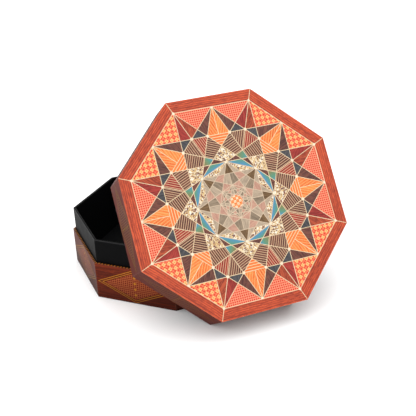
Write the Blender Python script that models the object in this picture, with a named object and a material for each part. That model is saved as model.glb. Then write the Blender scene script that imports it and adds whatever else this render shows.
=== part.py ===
"""Octagonal keepsake box in rigid board: a tray, an inner collar, a floor card and a lift-off lid.

Metres, +Z up. The origin is the centre of the tray's underside. The tray's flats face the X and Y axes
and the diagonals between them. The lid stands on one edge of its rim in front of the tray (towards -Y),
open side back, and leans over the tray's front.
"""

import math

import bmesh
import bpy
from mathutils import Matrix, Vector

# Driving dimensions
WIDTH = 0.180               # across the flats of the tray and of the lid
SHELL_HEIGHT = 0.0332       # outer height of the tray, and outer depth of the lid
COLLAR_TOP = 0.0544         # height of the collar's top edge above the table
BOARD = 0.0020              # thickness of every wall, bottom and top
LINER = 0.0010              # thickness of the floor card
GAP = 0.0003                # clearance between pieces that touch
LID_TILT = math.radians(55.8)   # how far the lid's top is turned up from lying flat
LID_EDGE_Y = -0.1221        # where the lid's lowest edge meets the table
LID_SHIFT_X = 0.0176        # how far the lid's centre is to the right of the tray's

# Finish of the edges
EDGE_ROUND = 0.0004         # radius of a folded paper edge
EDGE_STEPS = 2              # flats on each rounded edge

# Worked out from the driving dimensions
SIDES = 8
HALF_STEP = math.pi / SIDES
COLLAR_WIDTH = WIDTH - 2 * (BOARD + GAP)
LINER_WIDTH = COLLAR_WIDTH - 2 * (BOARD + GAP)
FLOOR = BOARD + GAP         # height of what stands on the tray's bottom

# Colours (linear RGB) and roughness of the plain materials
FINISHES = {
    "printed_base": ((0.215, 0.062, 0.030), 0.45),
    "printed_lid": ((0.560, 0.130, 0.052), 0.45),
    "black_paper": ((0.006, 0.006, 0.007), 0.80),
    "black_card": ((0.005, 0.005, 0.006), 0.85),
}


def plain_material(name):
    """A Principled material with one of the colours above."""
    colour, roughness = FINISHES[name]
    material = bpy.data.materials.new(name)
    material.use_nodes = True
    shader = material.node_tree.nodes["Principled BSDF"]
    shader.inputs["Base Color"].default_value = (*colour, 1.0)
    shader.inputs["Roughness"].default_value = roughness
    shader.inputs["Metallic"].default_value = 0.0
    return material


def octagon(width, height):
    """The corners of a regular octagon across the flats, at one height, anticlockwise from above."""
    radius = width / 2 / math.cos(HALF_STEP)
    turns = [HALF_STEP + side * 2 * HALF_STEP for side in range(SIDES)]
    return [Vector((radius * math.cos(turn), radius * math.sin(turn), height)) for turn in turns]


def wall_between(bm, lower, upper):
    """Quads from one ring of points to the next, facing the side that the lower ring turns to."""
    for side in range(SIDES):
        after = (side + 1) % SIDES
        bm.faces.new((lower[side], lower[after], upper[after], upper[side]))


def lathe_octagon(profile, closed_ends):
    """A mesh through octagon rings given as (width, height), in order from the inside round to the outside.

    With closed_ends the first and the last ring are filled; without it the last ring joins the first.
    """
    bm = bmesh.new()
    rings = [[bm.verts.new(point) for point in octagon(width, height)] for width, height in profile]
    for lower, upper in zip(rings, rings[1:]):
        wall_between(bm, lower, upper)
    if closed_ends:
        bm.faces.new(rings[0])
        bm.faces.new(rings[-1])
    else:
        wall_between(bm, rings[-1], rings[0])
    bmesh.ops.recalc_face_normals(bm, faces=bm.faces)
    return bm


def round_edges(bm):
    """Rounds every edge by the radius of a folded paper edge."""
    bmesh.ops.bevel(
        bm,
        geom=list(bm.edges),
        offset=EDGE_ROUND,
        offset_type="OFFSET",
        segments=EDGE_STEPS,
        profile=0.5,
        affect="EDGES",
        clamp_overlap=True,
    )
    bmesh.ops.remove_doubles(bm, verts=bm.verts, dist=0.00001)


def add_piece(name, bm, finish):
    """Turns a finished mesh into a named object with its own material."""
    mesh = bpy.data.meshes.new(name)
    bm.to_mesh(mesh)
    bm.free()
    mesh.materials.append(plain_material(finish))
    piece = bpy.data.objects.new(name, mesh)
    bpy.context.scene.collection.objects.link(piece)
    return piece


def make_shell(name, finish):
    """An open octagonal shell, eight walls and a bottom, standing on z = 0 with its open side up."""
    inner_width = WIDTH - 2 * BOARD
    bm = lathe_octagon(
        [
            (inner_width, BOARD),
            (inner_width, SHELL_HEIGHT),
            (WIDTH, SHELL_HEIGHT),
            (WIDTH, 0.0),
        ],
        closed_ends=True,
    )
    round_edges(bm)
    return add_piece(name, bm, finish)


def make_collar():
    """The ring that stands on the tray's bottom, open above and below."""
    inner_width = COLLAR_WIDTH - 2 * BOARD
    bm = lathe_octagon(
        [
            (inner_width, FLOOR),
            (inner_width, COLLAR_TOP),
            (COLLAR_WIDTH, COLLAR_TOP),
            (COLLAR_WIDTH, FLOOR),
        ],
        closed_ends=False,
    )
    round_edges(bm)
    return add_piece("neck_collar", bm, "black_paper")


def make_liner():
    """The card that lies on the tray's bottom inside the collar."""
    bm = lathe_octagon([(LINER_WIDTH, FLOOR), (LINER_WIDTH, FLOOR + LINER)], closed_ends=True)
    return add_piece("floor_liner", bm, "black_card")


def lean_lid(lid):
    """Turns the shell over into a lid, tilts it and stands its lowest edge on the table.

    The shell is made open side up, so it is first turned upside down about its own middle. The centre
    of its top is then at its object's origin.
    """
    turned_over = Matrix.Rotation(math.pi, 4, "X")
    lid.data.transform(turned_over)
    tilt = Matrix.Rotation(LID_TILT, 4, "X")
    tilted = [tilt @ vertex.co for vertex in lid.data.vertices]
    lowest = min(point.z for point in tilted)
    rim_edge_y = -WIDTH / 2 * math.cos(LID_TILT) + SHELL_HEIGHT * math.sin(LID_TILT)
    lid.rotation_euler = (LID_TILT, 0.0, 0.0)
    lid.location = (LID_SHIFT_X, LID_EDGE_Y - rim_edge_y, -lowest)


def build():
    for piece in list(bpy.data.objects):
        bpy.data.objects.remove(piece, do_unlink=True)
    make_shell("base_tray", "printed_base")
    make_collar()
    make_liner()
    lean_lid(make_shell("lid", "printed_lid"))


build()
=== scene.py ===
"""Looks of the octagonal keepsake box: printed board, a black inner collar and a lid that leans in front.

The lid's print is a sixteen-pointed star of inlaid veneers in a mitred frame. Each facet of the tray and
of the lid's walls has a lozenge on dark veneer.
"""

import math
from typing import NamedTuple

import bmesh
import bpy
from mathutils import Matrix, Vector


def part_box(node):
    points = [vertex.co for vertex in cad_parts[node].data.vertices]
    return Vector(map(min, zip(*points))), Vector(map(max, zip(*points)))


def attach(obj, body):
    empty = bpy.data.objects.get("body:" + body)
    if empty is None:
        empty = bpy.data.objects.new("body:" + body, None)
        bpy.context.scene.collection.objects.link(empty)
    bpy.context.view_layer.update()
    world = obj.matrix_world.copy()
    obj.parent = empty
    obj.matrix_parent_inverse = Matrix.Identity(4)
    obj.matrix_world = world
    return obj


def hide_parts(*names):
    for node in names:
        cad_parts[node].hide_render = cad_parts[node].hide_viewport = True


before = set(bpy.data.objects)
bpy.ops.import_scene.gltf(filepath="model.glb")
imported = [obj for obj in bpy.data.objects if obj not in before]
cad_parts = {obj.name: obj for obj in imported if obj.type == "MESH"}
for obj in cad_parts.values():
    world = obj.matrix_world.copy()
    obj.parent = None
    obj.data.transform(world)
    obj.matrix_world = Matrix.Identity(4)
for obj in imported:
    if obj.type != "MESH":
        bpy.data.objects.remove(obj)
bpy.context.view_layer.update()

# ------------------------------------------------------------------ sizes, from the frame

SIDES = 8
STEP = 2 * math.pi / SIDES                  # the turn from one side to the next
HALF_STEP = STEP / 2
CORNER_REACH = 1 / math.cos(HALF_STEP)      # a corner's distance for each unit of a flat's

tray_low, tray_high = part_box("base_tray")
collar_low, collar_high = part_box("neck_collar")
card_low, card_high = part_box("floor_liner")
lid_low, lid_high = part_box("lid")

WIDTH = tray_high.x - tray_low.x            # across the flats
HEIGHT = tray_high.z - tray_low.z           # of the tray, and the depth of the lid
FACET = WIDTH * math.tan(HALF_STEP)         # length of a side
COLLAR_WIDTH = collar_high.x - collar_low.x
CARD_WIDTH = card_high.x - card_low.x

BOARD = 0.0020                              # wall thickness
FOLD = 0.0004                               # radius of a folded paper edge
FOLD_STEPS = 3                              # faces across such a fold
TURN_IN = 0.013                             # how far the printed paper is turned in over an edge
LINING = 0.00015                            # thickness of the lining paper, which laps over the turn-in
TINY = 0.000001                             # what counts as no distance
NEAR = 0.01                                 # radians that count as the same angle
SHARP = math.radians(40)                    # an edge that turns further than this is shaded as a crease

# ------------------------------------------------------------------ driving sizes of the print

FRAME_BAND = 0.0092                         # width of the veneer frame round the star
INLAY = 0.0005                              # width of an inlay line between two cells
PEARL = 0.0012                              # reach of a pearl dot along the lines that meet in it

LOZENGE_LINE = 0.0005                       # width of each of a lozenge's two lines
LOZENGE_LINES = (0.0006, 0.0023)            # how far inside its outline they start
LOZENGE_FIELD = 0.0037                      # how far inside its outline its check starts
LOZENGE_CHECK = 0.0019                      # pitch of that check
BEAD = 0.0011                               # radius of the beads down its middle
BEAD_PITCH = HEIGHT / 6
BEADS_REACH = HEIGHT / 3                    # how far above and below the middle they go
TICK = 0.0030                               # pitch of the ticks on the edge of the board
WEAR_AND_HIGHLIGHT = 0.0008                               # how far from a fold the print is lightened, by wear and a painted highlight

FACET_STEP = 0.2                            # the print's u starts this much later on each next facet
CELL_STEP = 0.037                           # and this much later on each next cell of the star

STUDIO_LEVEL = 1.27                         # the light's level, where 1 would show white paper as white

# ------------------------------------------------------------------ small helpers


def tone(red, green, blue):
    """The colour, as a shader takes it, that the studio light shows as that display colour, 0 to 255."""
    def linear(level):
        level /= 255
        return level / 12.92 if level <= 0.04045 else ((level + 0.055) / 1.055) ** 2.4
    return (linear(red) / STUDIO_LEVEL, linear(green) / STUDIO_LEVEL, linear(blue) / STUDIO_LEVEL, 1.0)


def darker(colour, share):
    """A colour as a shader takes it, at that share of its light."""
    return (*(level * share for level in colour[:3]), 1.0)


def turned(angle, length=1.0):
    """A flat vector of that length at that angle from +X."""
    return Vector((math.cos(angle), math.sin(angle), 0.0)) * length


def octagon(width, height):
    """Corners of an octagon across the flats at one height, anticlockwise from above."""
    corner = width / 2 * CORNER_REACH
    return [turned(HALF_STEP + STEP * side, corner) + Vector((0, 0, height)) for side in range(SIDES)]


def reach(point):
    """How far out a point lies, square to the side of the octagon that it is nearest to."""
    return max(point.dot(turned(STEP * side)) for side in range(SIDES))


def side_of(face):
    """The number of the side that a face is on or under."""
    centre = face.calc_center_median()
    return round(math.atan2(centre.y, centre.x) / STEP) % SIDES


# ------------------------------------------------------------------ shaders


class Field:
    """A value that varies over a surface: one output of a shader's nodes, that works like a number.

    A comparison is 1 where it holds, and 0 elsewhere. One such field & another is 1 where both are, and
    one | another is 1 where either is.
    """

    def __init__(self, shade, socket):
        self.shade = shade
        self.socket = socket

    def __add__(self, other):
        return self.shade.math("ADD", self, other)

    def __sub__(self, other):
        return self.shade.math("SUBTRACT", self, other)

    def __rsub__(self, other):
        return self.shade.math("SUBTRACT", other, self)

    def __mul__(self, other):
        return self.shade.math("MULTIPLY", self, other)

    def __truediv__(self, other):
        return self.shade.math("DIVIDE", self, other)

    def __abs__(self):
        return self.shade.math("ABSOLUTE", self)

    def __gt__(self, other):
        return self.shade.math("GREATER_THAN", self, other)

    def __lt__(self, other):
        return self.shade.math("LESS_THAN", self, other)

    def __and__(self, other):
        return self.shade.math("MINIMUM", self, other)

    def __or__(self, other):
        return self.shade.math("MAXIMUM", self, other)


class Shade:
    """A material on a Principled shader, and the nodes of its pattern.

    The pattern is laid out in metres on the UV map called print: u runs along the grain or the stripes,
    and v across them.
    """

    def __init__(self, name, roughness=0.42, specular=0.2):
        self.material = bpy.data.materials.new(name)
        self.material.use_nodes = True
        self.nodes = self.material.node_tree.nodes
        self.links = self.material.node_tree.links
        self.shader = self.nodes["Principled BSDF"]
        self.shader.inputs["Specular IOR Level"].default_value = specular
        self.roughness = roughness
        place = self.nodes.new("ShaderNodeUVMap")
        place.uv_map = "print"
        parts = self.nodes.new("ShaderNodeSeparateXYZ")
        self.links.new(place.outputs["UV"], parts.inputs[0])
        self.u = Field(self, parts.outputs[0])
        self.v = Field(self, parts.outputs[1])

    def put(self, socket, value):
        """Links a field to a socket, or sets the socket to a plain value."""
        if isinstance(value, Field):
            self.links.new(value.socket, socket)
        else:
            socket.default_value = value

    def math(self, operation, *values):
        """One Math node."""
        node = self.nodes.new("ShaderNodeMath")
        node.operation = operation
        for socket, value in zip(node.inputs, values):
            self.put(socket, value)
        return Field(self, node.outputs[0])

    def mix(self, share, low, high, way="MIX"):
        """Two colours mixed by a share."""
        node = self.nodes.new("ShaderNodeMix")
        node.data_type = "RGBA"
        node.blend_type = way
        node.clamp_factor = True
        self.put(node.inputs["Factor"], share)
        self.put(node.inputs["A"], low)
        self.put(node.inputs["B"], high)
        return Field(self, node.outputs["Result"])

    def place(self, across, up):
        """A place for a texture node to read at."""
        node = self.nodes.new("ShaderNodeCombineXYZ")
        self.put(node.inputs[0], across)
        self.put(node.inputs[1], up)
        return Field(self, node.outputs[0])

    def noise(self, along, across, detail=3.0, roughness=0.55):
        """Noise with so many waves to the metre along u and across it."""
        node = self.nodes.new("ShaderNodeTexNoise")
        node.noise_dimensions = "2D"
        node.inputs["Scale"].default_value = 1.0
        node.inputs["Detail"].default_value = detail
        node.inputs["Roughness"].default_value = roughness
        self.put(node.inputs["Vector"], self.place(self.u * along, self.v * across))
        return Field(self, node.outputs["Fac"])

    def lots(self, across, up):
        """A value from 0 to 1 drawn for each place, with nothing between one place and the next."""
        node = self.nodes.new("ShaderNodeTexWhiteNoise")
        node.noise_dimensions = "2D"
        self.put(node.inputs["Vector"], self.place(across, up))
        return Field(self, node.outputs["Value"])

    def choice(self, value, tones):
        """One of the colours for each even share of a value from 0 to 1."""
        node = self.nodes.new("ShaderNodeValToRGB")
        node.color_ramp.interpolation = "CONSTANT"
        stops = node.color_ramp.elements
        while len(stops) < len(tones):
            stops.new(1.0)
        for index, colour in enumerate(tones):
            stops[index].position = index / len(tones)
            stops[index].color = colour
        self.put(node.inputs[0], value)
        return Field(self, node.outputs["Color"])

    def spread(self, value, low, high):
        """The value's stretch from low to high as 0 to 1, and no further at either end."""
        node = self.nodes.new("ShaderNodeMapRange")
        node.inputs["From Min"].default_value = low
        node.inputs["From Max"].default_value = high
        self.put(node.inputs["Value"], value)
        return Field(self, node.outputs["Result"])

    def centred(self, value, pitch):
        """How far a value is from the middle of its own pitch."""
        return (self.math("FRACT", value / pitch) - 0.5) * pitch

    def bars(self, across, pitch, share, start=0.0):
        """1 on bars that take that share of each pitch, else 0."""
        return self.math("FRACT", (across - start) / pitch) < share

    def grid(self, pitch, share):
        """1 on bars along u and along v, else 0."""
        return self.bars(self.v, pitch, share) | self.bars(self.u, pitch, share)

    def away(self, u, v):
        """How far a place is from where both values are 0."""
        return self.math("SQRT", u * u + v * v)

    def finish(self, colour, height=0.00001):
        """The finished material, with the paper's fibres as a fine bump and a slightly uneven gloss."""
        self.put(self.shader.inputs["Base Color"], colour)
        unevenness = 0.12
        roughness = self.noise(60, 60) * unevenness + (self.roughness - unevenness / 2)
        self.put(self.shader.inputs["Roughness"], roughness)
        bump = self.nodes.new("ShaderNodeBump")
        bump.inputs["Strength"].default_value = 0.4
        bump.inputs["Distance"].default_value = height
        self.put(bump.inputs["Height"], self.noise(1100, 1100))
        self.links.new(bump.outputs[0], self.shader.inputs["Normal"])
        return self.material


def veneer_colour(shade, dark, light, pores=0.5, flecks=0.35):
    """Wood with its grain along u: soft streaks, short flecks, thin dark grain lines and dark pores."""
    broad = shade.noise(along=9, across=160, detail=1.0)
    fine = shade.noise(along=16, across=850, detail=3.0, roughness=0.8)
    fleck = shade.noise(along=190, across=1000, detail=1.0)
    streaks = broad * 0.2 + fine * (0.8 - flecks) + fleck * flecks
    wood = shade.mix(shade.spread(streaks, 0.38, 0.57), dark, light)
    line = shade.spread(shade.noise(along=22, across=760, detail=1.0), 0.52, 0.6)
    broken = shade.spread(shade.noise(along=280, across=420, detail=1.0), 0.4, 0.5)
    wood = shade.mix(line * broken * pores, wood, dark)
    pore = shade.spread(shade.noise(along=110, across=2600, detail=1.0), 0.58, 0.68)
    return shade.mix(pore * (pores * 0.8), wood, dark)


def veneer(name, dark, light, pores=0.5):
    """Plain veneer."""
    shade = Shade(name)
    return shade.finish(veneer_colour(shade, dark, light, pores))


def striped(name, dark, light, line, pitch, share):
    """Veneer with even lines along u."""
    shade = Shade(name)
    wood = veneer_colour(shade, dark, light)
    first = pitch * 0.35
    return shade.finish(shade.mix(shade.bars(shade.v, pitch, share, first), wood, line))


def hatched(name, dark, light, line, pitch):
    """Veneer with fine wavering lines along u, and a sandy grain."""
    shade = Shade(name)
    wood = veneer_colour(shade, dark, light, pores=0.3)
    wavering = shade.v + shade.noise(40, 40, detail=1.0) * pitch
    lines = shade.bars(wavering, pitch, 0.3)
    sand = shade.spread(shade.noise(1100, 1100, detail=1.0), 0.45, 0.6)
    return shade.finish(shade.mix(lines * 0.55 + sand * 0.2, wood, line))


def checked(name, ground, line, pitch, share):
    """Fine lines both ways on an even ground."""
    shade = Shade(name)
    cloth = shade.mix(shade.noise(900, 900), ground, darker(ground, 0.75))
    return shade.finish(shade.mix(shade.grid(pitch, share), cloth, line))


def flowered(name, ground, lattice, petal, pitch):
    """Small four-petalled flowers, set in quincunx on a fine lattice."""
    shade = Shade(name)
    cloth = shade.mix(shade.noise(700, 700), ground, darker(ground, 0.8))
    colour = shade.mix(shade.grid(pitch / 3, 0.3), cloth, lattice)
    step = pitch / math.sqrt(2)
    petal_reach = step * 0.32
    petal_swell = step * 0.07
    eye = step * 0.09
    a = shade.centred((shade.u + shade.v) / math.sqrt(2), step)
    b = shade.centred((shade.u - shade.v) / math.sqrt(2), step)
    away = shade.away(a, b)
    petals = shade.math("COSINE", shade.math("ARCTAN2", a, b) * 4)
    colour = shade.mix(away < petals * petal_swell + petal_reach, colour, petal)
    return shade.finish(shade.mix(away < eye, colour, ground))


def mosaic(name, tones, pitch):
    """Small triangles, two to a square, each in one of the tones, with the last at each corner."""
    shade = Shade(name)
    corner = pitch * 0.82
    u = shade.u / pitch
    v = shade.v / pitch
    upper = shade.math("FRACT", u) > shade.math("FRACT", v)
    lot = shade.lots(shade.math("FLOOR", u) + upper * 0.5, shade.math("FLOOR", v))
    away = abs(shade.centred(shade.u, pitch)) + abs(shade.centred(shade.v, pitch))
    return shade.finish(shade.mix(away > corner, shade.choice(lot, tones), tones[-1]))


def graded(name, near, middle, far, length):
    """A colour that changes along v, with a soft grain."""
    shade = Shade(name)
    grain = 0.35
    share = shade.v / length + (shade.noise(160, 160) - 0.5) * grain
    colour = shade.mix(shade.spread(share, 0.0, 0.5), near, middle)
    return shade.finish(shade.mix(shade.spread(share, 0.5, 1.0), colour, far))


def side_print(name, dark, light, inlaid, specular, foot, head, painted_sheen_tint):
    """Dark veneer with a double-lined lozenge on each facet, filled with a fine check, and lighter folds:
    wear and painted highlight.

    v is 0 at the foot of the wall and HEIGHT at its rim, where the print goes on over the board's edge
    and down inside. inlaid is the share of its light that the lozenge has. The whole print has the share
    foot of its light at the foot, and head at the rim; where foot is the lower, that is painted shade,
    darker towards the foot. Every other facet, from the first, has its red, green and blue multiplied by
    those
    shares, greying it: a painted sheen.
    """
    shade = Shade(name, roughness=0.5, specular=specular)
    gold = darker(tone(204, 130, 36), inlaid)
    wear_and_highlight_tone = tone(170, 122, 96)
    half_long = FACET / 2
    half_high = HEIGHT / 2
    u = abs(shade.centred(shade.u + FACET_STEP / 2, FACET_STEP))
    v = abs(shade.v - half_high)
    slope = half_long * half_high / math.hypot(half_long, half_high)
    inside = (1 - u / half_long - v / half_high) * slope
    ground = darker(tone(112, 26, 13), inlaid)
    field = shade.mix(shade.grid(LOZENGE_CHECK, 0.3), ground, darker(tone(184, 96, 52), inlaid))
    colour = shade.mix(inside > LOZENGE_FIELD, veneer_colour(shade, dark, light, flecks=0.1), field)
    for start in LOZENGE_LINES:
        colour = shade.mix((inside > start) & (inside < start + LOZENGE_LINE), colour, gold)
    beads = (shade.away(u, shade.centred(shade.v, BEAD_PITCH)) < BEAD) & (v < BEADS_REACH)
    colour = shade.mix(beads, colour, gold)
    ticks = shade.mix(shade.bars(shade.u, TICK, 0.5), tone(44, 16, 8), tone(178, 104, 38))
    edge = (shade.v > HEIGHT + FOLD / 2) & (shade.v < HEIGHT + BOARD)
    colour = shade.mix(edge, colour, ticks)
    # Lighter along the folds: partly paper wear, partly a painted highlight
    from_fold = half_long - u
    for fold in (0.0, HEIGHT, HEIGHT + BOARD):
        from_fold = shade.math("MINIMUM", from_fold, abs(shade.v - fold))
    wear_and_highlight = shade.spread(from_fold, WEAR_AND_HIGHLIGHT, 0.0) * shade.spread(shade.noise(300, 300), 0.4, 0.7)
    colour = shade.mix(wear_and_highlight * 0.35, colour, wear_and_highlight_tone)
    # Painted shade: the print's light runs from the share foot at the wall's foot to head at its rim
    level = shade.mix(shade.spread(shade.v, 0.0, HEIGHT), (foot, foot, foot, 1), (head, head, head, 1))
    colour = shade.mix(1.0, colour, level, "MULTIPLY")
    # Painted sheen: every other facet, from the first, has its colour multiplied by the greying shares
    other_facet = shade.bars(shade.u, 2 * FACET_STEP, 0.5, -FACET_STEP / 2)
    painted_sheen_colour = shade.mix(1.0, colour, (*painted_sheen_tint, 1.0), "MULTIPLY")
    return shade.finish(shade.mix(other_facet, colour, painted_sheen_colour))


def black_paper(name, level, roughness, specular):
    """Black paper, whose darkest fibres have that grey level, 0 to 255, with a stronger bump."""
    shade = Shade(name, roughness, specular)
    fibre = shade.noise(900, 900, detail=4.0)
    colour = shade.mix(fibre, tone(level, level, level + 1), tone(level + 5, level + 5, level + 6))
    return shade.finish(colour, height=0.00003)


def make_materials():
    """Every material, by the name that the tables and the mesh builders use."""
    brown = tone(76, 44, 40), tone(120, 72, 58)
    red = tone(122, 32, 30), tone(168, 58, 48)
    cream = tone(238, 210, 166)
    buff = tone(212, 176, 136)
    apricot = tone(248, 176, 110)
    chips = (
        tone(132, 82, 66),
        tone(206, 174, 122),
        tone(158, 128, 98),
        tone(228, 210, 178),
        tone(116, 84, 74),
        tone(196, 158, 106),
        tone(216, 186, 138),
        tone(242, 232, 212),
    )
    made = (
        hatched("frame_wood", tone(150, 56, 36), tone(218, 90, 52), tone(114, 40, 28), pitch=0.0017),
        veneer("frame_fold", tone(160, 66, 44), tone(226, 108, 66)),
        veneer("rust_wood", tone(124, 46, 30), tone(186, 82, 50), pores=0.7),
        veneer("brown_wood", *brown),
        veneer("red_wood", *red),
        veneer("charcoal", tone(52, 52, 56), tone(82, 80, 82), pores=0.4),
        hatched("orange", tone(216, 98, 40), tone(244, 138, 64), apricot, pitch=0.0021),
        hatched("orange_deep", tone(200, 82, 32), tone(238, 120, 54), apricot, pitch=0.0021),
        striped("orange_stripe", tone(226, 104, 46), tone(244, 134, 68), cream, pitch=0.0022, share=0.22),
        striped("brown_stripe", *brown, buff, pitch=0.0018, share=0.24),
        striped("red_stripe", *red, buff, pitch=0.0018, share=0.24),
        checked("coral_check", tone(222, 60, 38), tone(238, 146, 112), pitch=0.0018, share=0.32),
        flowered("gold_flowers", tone(224, 66, 42), tone(236, 124, 86), tone(236, 188, 118), pitch=0.0062),
        mosaic("speckle", chips, pitch=0.0016),
        graded("sea", tone(74, 138, 178), tone(90, 142, 116), tone(124, 124, 80), length=0.0085),
        veneer("pale", tone(154, 136, 116), tone(184, 164, 140), pores=0.3),
        veneer("pale_rose", tone(172, 128, 110), tone(196, 152, 130), pores=0.3),
        veneer("taupe", tone(120, 104, 86), tone(150, 132, 110), pores=0.3),
        veneer("umber", tone(92, 68, 42), tone(122, 94, 62), pores=0.4),
        flowered("middle", tone(232, 110, 52), tone(238, 156, 94), tone(246, 220, 182), pitch=0.0045),
        veneer("inlay", tone(214, 184, 142), tone(236, 214, 178), pores=0.2),
        veneer("pale_inlay", tone(194, 170, 142), tone(212, 190, 164), pores=0.2),
        veneer("pearl", tone(224, 204, 174), tone(240, 226, 200), pores=0.2),
        side_print(
            "tray_sides",
            dark=tone(80, 24, 9),
            light=tone(124, 44, 18),
            inlaid=1.0,
            specular=0.075,
            # foot below head: painted shade, darker towards the foot of the tray's walls
            foot=0.42,
            head=1.08,
            # painted sheen on every other facet
            painted_sheen_tint=(0.69, 0.87, 1.3),
        ),
        side_print(
            "lid_sides",
            dark=tone(82, 21, 9),
            light=tone(110, 36, 18),
            inlaid=0.4,
            specular=0.038,
            foot=0.8,
            head=0.8,
            # painted sheen on every other facet
            painted_sheen_tint=(1.14, 1.6, 2.4),
        ),
        black_paper("collar_black", level=5, roughness=0.55, specular=0.04),
        # lighter paper for the collar's top folds: wear and a painted highlight
        black_paper("collar_edge_wear_and_highlight", level=26, roughness=0.45, specular=0.2),
        black_paper("lining_black", level=4, roughness=0.6, specular=0.1),
    )
    return {material.name: material for material in made}


# ------------------------------------------------------------------ how the lid's star is filled


class Fill(NamedTuple):
    """How the cells of one kind in a star are filled."""

    material: str
    grain: float = 0.0          # degrees from the cell's own axis to the grain or the stripes
    second: str = ""            # the material of every other cell, or of one half of each
    halved: bool = False        # each cell is cut in two along its own axis


# The fills of each star, from its middle outwards. What a star leaves in its middle holds the next star,
# and what the last star leaves there is an octagon with a fill of its own.
OUTER_STAR = (
    Fill("sea", 90),
    Fill("brown_wood"),
    Fill("speckle"),
    Fill("sea"),
    Fill("brown_stripe", 67.5),
    Fill("red_stripe", 22.5, "brown_stripe", halved=True),
    Fill("orange_stripe", 90),
    Fill("charcoal"),
    Fill("orange", 22.5, "orange_deep", halved=True),
    Fill("brown_wood", 22.5),
    Fill("rust_wood", 0, "red_wood", halved=True),
    Fill("coral_check", 90, "gold_flowers"),
)
MIDDLE_STAR = (
    Fill("pale_rose"),
    Fill("taupe", 0, "pale", halved=True),
    Fill("pale_rose", 90),
    Fill("umber"),
    Fill("pale"),
    Fill("speckle", 90),
)
INNER_STAR = (
    Fill("pale_rose"),
    Fill("taupe", 0, "pale", halved=True),
    Fill("pale_rose", 90),
    Fill("pale", 90),
    Fill("taupe"),
    Fill("pale_rose", 90),
)

# ------------------------------------------------------------------ mesh building


class Piece:
    """A mesh under construction, with its material slots by name and its print map."""

    def __init__(self, name, materials):
        self.name = name
        self.materials = materials
        self.slots = []
        self.bm = bmesh.new()
        self.map = self.bm.loops.layers.uv.new("print")
        self.lay = self.bm.faces.layers.int.new("lay")
        self.lays = []

    def paint(self, faces, material):
        """Gives faces a material by its name."""
        if material not in self.slots:
            self.slots.append(material)
        for face in faces:
            face.material_index = self.slots.index(material)

    def ring(self, width, height):
        """An octagon's corners."""
        return [self.bm.verts.new(point) for point in octagon(width, height)]

    def wall(self, lower, upper, material):
        """Faces from one ring of corners to another."""
        pairs = list(zip(lower, upper))
        faces = [
            self.bm.faces.new((*before, *reversed(after)))
            for before, after in zip(pairs, pairs[1:] + pairs[:1])
        ]
        self.paint(faces, material)

    def close(self, ring, material):
        """A face across a ring of corners."""
        self.paint([self.bm.faces.new(ring)], material)

    def fold(self, corners):
        """Rounds the edges between these corners, except where the faces on both sides are in one plane."""
        bmesh.ops.recalc_face_normals(self.bm, faces=self.bm.faces)
        edges = [
            edge for edge in self.bm.edges
            if corners.issuperset(edge.verts) and edge.calc_face_angle() > HALF_STEP
        ]
        bmesh.ops.bevel(
            self.bm, geom=edges, offset=FOLD, segments=FOLD_STEPS, profile=0.5, affect="EDGES", material=-1)
        self.bm.normal_update()

    def inset(self, faces, width, depth=0.0):
        """Draws a border inside each face, and returns the borders' faces."""
        return bmesh.ops.inset_individual(
            self.bm, faces=faces, thickness=width, depth=depth, use_even_offset=True, use_interpolate=True
        )["faces"]

    def finish(self, slot, replaces, matrix=Matrix()):
        """Makes the object in its place, and hides the CAD node that it replaces. The slot argument is not
        used.
        """
        bmesh.ops.remove_doubles(self.bm, verts=self.bm.verts, dist=TINY)
        bmesh.ops.recalc_face_normals(self.bm, faces=self.bm.faces)
        self.bm.faces.layers.int.remove(self.lay)
        mesh = bpy.data.meshes.new(self.name)
        self.bm.to_mesh(mesh)
        self.bm.free()
        for name in self.slots:
            mesh.materials.append(self.materials[name])
        piece = bpy.data.objects.new(self.name, mesh)
        bpy.context.scene.collection.objects.link(piece)
        piece.matrix_world = matrix
        mesh.shade_smooth()
        mesh.set_sharp_from_angle(angle=SHARP)
        even = piece.modifiers.new("even_shading", "WEIGHTED_NORMAL")
        even.keep_sharp = True
        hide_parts(replaces)
        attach(piece, "root")


def lay_wrap(piece, width, rim):
    """Maps a wrap: u along each facet, and v up the wall, over its rim and down inside."""
    for face in piece.bm.faces:
        side = side_of(face)
        outward = turned(STEP * side)
        along = turned(STEP * side + math.pi / 2)
        under = max(vert.co.z for vert in face.verts) < FOLD + TINY
        inner = width / 2 - face.calc_center_median().dot(outward) > BOARD / 2
        for loop in face.loops:
            point = loop.vert.co
            inward = width / 2 - point.dot(outward)
            if under:
                v = point.z - inward
            elif inner:
                v = 2 * rim - point.z + inward
            else:
                v = point.z + inward
            loop[piece.map].uv = (point.dot(along) + side * FACET_STEP, v)


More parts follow.
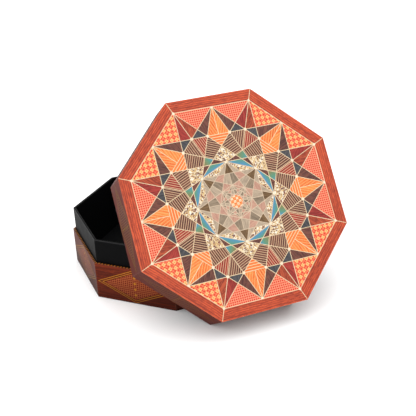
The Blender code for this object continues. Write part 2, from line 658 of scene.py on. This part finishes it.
def lay_flat_out(piece):
    """A second map, on which no two faces overlap and the prints are at one scale, for baking.

    The flat sheet lies at the lower left. The facets' wraps lie in a column to its right, and three of
    them turned in a row above it. The lining, which is plain, lies small beside that row.
    """
    gap = 0.0015
    strip = HEIGHT + BOARD + TURN_IN + FOLD + gap
    row = WIDTH + gap + FACET / 2
    upright = 5
    whole = row + FACET / 2 + gap
    lining_scale = 0.09
    lining_place = Vector((WIDTH - WIDTH * lining_scale, row, 0))
    layer = piece.bm.loops.layers.uv.new("OFBake")
    for face in piece.bm.faces:
        centre = face.calc_center_median()
        side = side_of(face)
        sheet = centre.z < FOLD and reach(centre) < WIDTH / 2 - FOLD
        lining = piece.slots[face.material_index] == "lining_black"
        for loop in face.loops:
            point = loop.vert.co
            along = loop[piece.map].uv.x - side * FACET_STEP
            up = loop[piece.map].uv.y + FOLD + gap / 2
            if sheet:
                spot = Vector((WIDTH / 2 - point.x, WIDTH / 2 + point.y))
            elif lining:
                spot = (point * (1 + point.z / HEIGHT) * lining_scale + lining_place).xy
            elif side < upright:
                spot = Vector((row + along, side * strip + up))
            else:
                spot = Vector(((side - upright) * strip + up, row - along))
            loop[layer].uv = spot / whole


# ------------------------------------------------------------------ the inlaid star


def star_lines(first, distance, skip):
    """The eight lines that join points at that distance, each to the one that many further on.

    first is the first point's angle. Each line is given by its normal's angle and its own distance.
    """
    turn = first + skip * HALF_STEP
    return [(turn + STEP * side, distance * math.cos(skip * HALF_STEP)) for side in range(SIDES)]


def cut(bm, faces, angle, distance):
    """Cuts flat faces along a line, and returns the faces on both sides of it."""
    edges = {edge for face in faces for edge in face.edges}
    verts = {vert for face in faces for vert in face.verts}
    result = bmesh.ops.bisect_plane(
        bm,
        geom=[*faces, *edges, *verts],
        dist=TINY,
        plane_co=turned(angle, distance),
        plane_no=turned(angle),
    )
    return [item for item in result["geom"] if isinstance(item, bmesh.types.BMFace)]


def place_in_star(face):
    """A cell's distance from the middle, and its angle from +X."""
    centre = face.calc_center_median_weighted()
    return centre.xy.length, math.atan2(centre.y, centre.x)


def order_in_star(face):
    """A key that sorts cells anticlockwise from +X, in the same order each run."""
    return (place_in_star(face)[1] + NEAR) % (2 * math.pi)


def own_axis(angle):
    """The star's axis that a cell belongs to: a side's middle, or a corner if the cell is on its line."""
    axis = STEP * round(angle / STEP)
    return angle if abs(abs(angle - axis) - HALF_STEP) < NEAR else axis


def kind_of_cell(face):
    """What is the same for each of a cell's copies all round the star, turned or mirrored.

    This is its distance from the middle and its angle from the nearest side's middle, both rounded.
    """
    distance, angle = place_in_star(face)
    off = abs(angle - STEP * round(angle / STEP))
    return round(distance, 4), round(off, 2)


def draw_star(bm, face, polygons):
    """Cuts a face by star polygons, and returns its middle and the other cells.

    polygons gives for each the angle of the first of its eight points, their distance from the middle,
    and how many points on each of its lines goes.
    """
    cells = [face]
    for first, distance, skip in polygons:
        for angle, offset in star_lines(first, distance, skip):
            cells = cut(bm, cells, angle, offset)
    middle = min(cells, key=lambda cell: place_in_star(cell)[0])
    cells.remove(middle)
    return middle, cells


def fill_cell(piece, face, material, grain):
    """Gives a cell its material, and notes how its print lies: u at the grain's angle from its own axis.

    Clockwise from its axis, the grain is mirrored.
    """
    angle = place_in_star(face)[1]
    axis = own_axis(angle)
    if angle - axis < -NEAR:
        grain = -grain
    along = turned(axis + math.radians(grain))
    across = turned(axis + math.radians(grain) + math.pi / 2)
    far = max(vert.co.dot(across) for vert in face.verts)
    piece.paint([face], material)
    face[piece.lay] = len(piece.lays)
    piece.lays.append((along, across, far, CELL_STEP * len(piece.lays) % 1))


def lay_cell(piece, face):
    """Maps a cell's print as its fill noted."""
    along, across, far, start = piece.lays[face[piece.lay]]
    for loop in face.loops:
        point = loop.vert.co
        loop[piece.map].uv = (point.dot(along) + start, far - point.dot(across))


def fill_star(piece, cells, fills):
    """Fills a star's cells, kind by kind from its middle outwards."""
    kinds = {}
    for cell in cells:
        kinds.setdefault(kind_of_cell(cell), []).append(cell)
    for kind, fill in zip(sorted(kinds), fills, strict=True):
        for cell in sorted(kinds[kind], key=order_in_star):
            axis = own_axis(place_in_star(cell)[1])
            if fill.halved:
                halves = cut(piece.bm, [cell], axis + math.pi / 2, 0.0)
                for half in sorted(halves, key=order_in_star):
                    other = math.sin(place_in_star(half)[1] - axis) < 0
                    fill_cell(piece, half, fill.second if other else fill.material, fill.grain)
            else:
                other = fill.second and round(axis / STEP) % 2
                fill_cell(piece, cell, fill.second if other else fill.material, fill.grain)


def set_pearls(piece):
    """Sets small pearl dots where the points of a star meet, and returns their faces.

    A dot is set where six or more lines meet that all have room for it.
    """
    points = [
        vert for vert in piece.bm.verts
        if vert.co.z < TINY and len(vert.link_edges) >= 6
        and min(edge.calc_length() for edge in vert.link_edges) > 6 * PEARL
    ]
    around = bmesh.ops.bevel(
        piece.bm, geom=points, offset=PEARL, segments=1, affect="VERTICES", material=-1)["faces"]
    square = (2 * PEARL) ** 2
    pearls = [face for face in around if face.calc_area() < square]
    piece.paint(pearls, "pearl")
    return pearls


def set_inlays(piece, cells, pale_reach):
    """Sets a thin line round each cell, except on the outside of the frame."""
    frame_edge = WIDTH / 2 - FOLD - INLAY / 2
    for line in piece.inset(cells, INLAY / 2):
        centre = line.calc_center_median()
        if centre.length < pale_reach:
            piece.paint([line], "pale_inlay")
        elif reach(centre) < frame_edge:
            piece.paint([line], "inlay")


def inlay_star(piece, sheet):
    """Cuts the lid's flat top into an inlaid star in a frame of mitred strips, and fills its cells."""
    bm = piece.bm
    for strip in sorted(piece.inset([sheet], FRAME_BAND), key=order_in_star):
        fill_cell(piece, strip, "frame_wood", 90)
    outer = WIDTH / 2 - FOLD - FRAME_BAND
    rose = outer * math.tan(HALF_STEP)
    heart = rose * math.tan(HALF_STEP)
    stars = (
        (((HALF_STEP, outer * CORNER_REACH, 3), (0.0, outer, 2), (0.0, outer, 3)), OUTER_STAR),
        (((0.0, rose, 2), (0.0, rose, 3)), MIDDLE_STAR),
        (((0.0, heart, 2), (0.0, heart, 3)), INNER_STAR),
    )
    for polygons, fills in stars:
        sheet, cells = draw_star(bm, sheet, polygons)
        fill_star(piece, cells, fills)
    fill_cell(piece, sheet, "middle", 90)
    pearls = set_pearls(piece)
    cells = [
        face for face in bm.faces
        if max(vert.co.z for vert in face.verts) < TINY and face not in pearls
    ]
    for cell in cells:
        lay_cell(piece, cell)
    set_inlays(piece, cells, rose)


# ------------------------------------------------------------------ the pieces


def make_shell(name, materials, sides):
    """The tray, or the lid as a tray standing on its top: eight walls and a bottom.

    The wrap is turned in over the rim, and the lining laps over it. Returns the piece and its flat sheet
    below.
    """
    piece = Piece(name, materials)
    inner = WIDTH - 2 * BOARD
    lined = inner - 2 * LINING
    lap = HEIGHT - TURN_IN
    floor = piece.ring(lined, BOARD + LINING)
    lining = piece.ring(lined, lap)
    turn_in = piece.ring(inner, lap)
    rim = piece.ring(inner, HEIGHT)
    rim_outside = piece.ring(WIDTH, HEIGHT)
    foot = piece.ring(WIDTH, 0.0)
    piece.close(floor, "lining_black")
    piece.wall(floor, lining, "lining_black")
    piece.wall(lining, turn_in, "lining_black")
    piece.wall(turn_in, rim, sides)
    piece.wall(rim, rim_outside, sides)
    piece.wall(rim_outside, foot, sides)
    piece.close(foot, sides)
    piece.fold({*rim, *rim_outside, *foot})
    return piece, max(piece.bm.faces, key=lambda face: face.calc_area())


def make_tray(materials):
    """The tray, with the wrap turned in under it round a plain panel."""
    piece, sheet = make_shell("tray", materials, "tray_sides")
    piece.inset([sheet], TURN_IN)
    lay_wrap(piece, WIDTH, HEIGHT)
    piece.paint([sheet], "lining_black")
    piece.inset([sheet], LINING, depth=-LINING)
    lay_flat_out(piece)
    piece.finish("tray_print", "base_tray")


def lid_matrix():
    """From the lid as a tray standing on its top, to its place in the frame."""
    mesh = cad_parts["lid"].data
    top = max((face for face in mesh.polygons if face.normal.z > 0), key=lambda face: face.area)
    tilt = math.atan2(-top.normal.y, top.normal.z)
    slope = turned(tilt).zxy
    along = [vertex.co.dot(slope) for vertex in mesh.vertices]
    height = max(vertex.co.dot(top.normal) for vertex in mesh.vertices)
    middle = slope * (min(along) + max(along)) / 2 + top.normal * height
    middle.x = (lid_low.x + lid_high.x) / 2
    return Matrix.Translation(middle) @ Matrix.Rotation(tilt + math.pi, 4, "X")


def make_lid(materials):
    """The lid, with the star on its top and a veneer of its own on the fold round it."""
    piece, sheet = make_shell("lid_cap", materials, "lid_sides")
    lay_wrap(piece, WIDTH, HEIGHT)
    top = [face for face in piece.bm.faces if max(vert.co.z for vert in face.verts) < FOLD + TINY]
    piece.paint(top, "frame_fold")
    inlay_star(piece, sheet)
    lay_flat_out(piece)
    piece.finish("lid_print", "lid", lid_matrix())


def make_collar(materials):
    """The black ring that the lid slips over, with lighter folds at its top: wear and a painted highlight.
    """
    piece = Piece("collar", materials)
    inner = COLLAR_WIDTH - 2 * BOARD
    rings = [
        piece.ring(width, height)
        for width, height in (
            (inner, collar_low.z),
            (inner, collar_high.z),
            (COLLAR_WIDTH, collar_high.z),
            (COLLAR_WIDTH, collar_low.z),
        )
    ]
    for ring, after in zip(rings, rings[1:] + rings[:1]):
        piece.wall(ring, after, "collar_black")
    piece.fold(set(piece.bm.verts))
    level = 0.99                            # a level face's normal has more than this of its length up Z
    edges = [
        face for face in piece.bm.faces
        if face.calc_center_median().z > collar_high.z - FOLD and face.normal.z < level
    ]
    piece.paint(edges, "collar_edge_wear_and_highlight")
    lay_wrap(piece, COLLAR_WIDTH, collar_high.z)
    piece.finish("collar_paper", "neck_collar")


def make_floor_card(materials):
    """The card that lies on the tray's bottom inside the collar."""
    piece = Piece("floor_card", materials)
    low = piece.ring(CARD_WIDTH, card_low.z)
    high = piece.ring(CARD_WIDTH, card_high.z)
    piece.close(low, "lining_black")
    piece.wall(low, high, "lining_black")
    piece.close(high, "lining_black")
    lay_wrap(piece, CARD_WIDTH, card_high.z)
    piece.finish("floor_card", "floor_liner")


# ------------------------------------------------------------------ camera, floor and light


def aim_camera():
    """The view of the photograph: raised, from the left of the lid, and rolled a little.

    The target and the distance are in lengths of a corner's distance from the tray's middle.
    """
    azimuth = math.radians(-20.81)
    elevation = math.radians(25.23)
    roll = math.radians(-3.13)
    corner = WIDTH / 2 * CORNER_REACH
    target = Vector((0.2242, -0.2298, 0.5544)) * corner
    distance = 7.887 * corner
    back = Vector((
        math.sin(azimuth) * math.cos(elevation),
        -math.cos(azimuth) * math.cos(elevation),
        math.sin(elevation),
    ))
    level = Vector((0, 0, 1)).cross(back).normalized()
    upward = back.cross(level)
    right = level * math.cos(roll) + upward * math.sin(roll)
    top = upward * math.cos(roll) - level * math.sin(roll)
    camera = bpy.data.objects.new("camera", bpy.data.cameras.new("camera"))
    camera.data.lens = 73.95
    camera.data.sensor_width = 36.0
    turn = Matrix((right, top, back)).transposed().to_4x4()
    camera.matrix_world = Matrix.Translation(target + back * distance) @ turn
    bpy.context.scene.collection.objects.link(camera)
    bpy.context.scene.camera = camera


def light_scene():
    """White surroundings, and a wide soft light from above and a little in front."""
    world = bpy.data.worlds.new("studio")
    bpy.context.scene.world = world
    world.use_nodes = True
    background = world.node_tree.nodes["Background"]
    background.inputs["Color"].default_value = (1, 1, 1, 1)
    background.inputs["Strength"].default_value = 0.98
    lamp = bpy.data.lights.new("overhead", "SUN")
    lamp.energy = 2.1
    lamp.angle = math.radians(100)
    light = bpy.data.objects.new("overhead", lamp)
    towards_lamp = Vector((-0.15, -0.35, 1.0))
    light.rotation_euler = towards_lamp.to_track_quat("Z", "Y").to_euler()
    bpy.context.scene.collection.objects.link(light)
    bpy.context.scene.view_settings.view_transform = "Standard"


def lay_floor():
    """A pale floor just under the box, so that the two are not in one plane."""
    gap = 0.0002
    bpy.ops.mesh.primitive_plane_add(size=30.0, location=(0.0, 0.0, -gap))
    floor = bpy.context.object
    floor.name = "floor"
    material = bpy.data.materials.new("floor")
    material.use_nodes = True
    shader = material.node_tree.nodes["Principled BSDF"]
    shader.inputs["Base Color"].default_value = (0.97, 0.97, 0.97, 1)
    shader.inputs["Roughness"].default_value = 0.9
    floor.data.materials.append(material)


aim_camera()
light_scene()
lay_floor()
materials = make_materials()
make_tray(materials)
make_collar(materials)
make_floor_card(materials)
make_lid(materials)
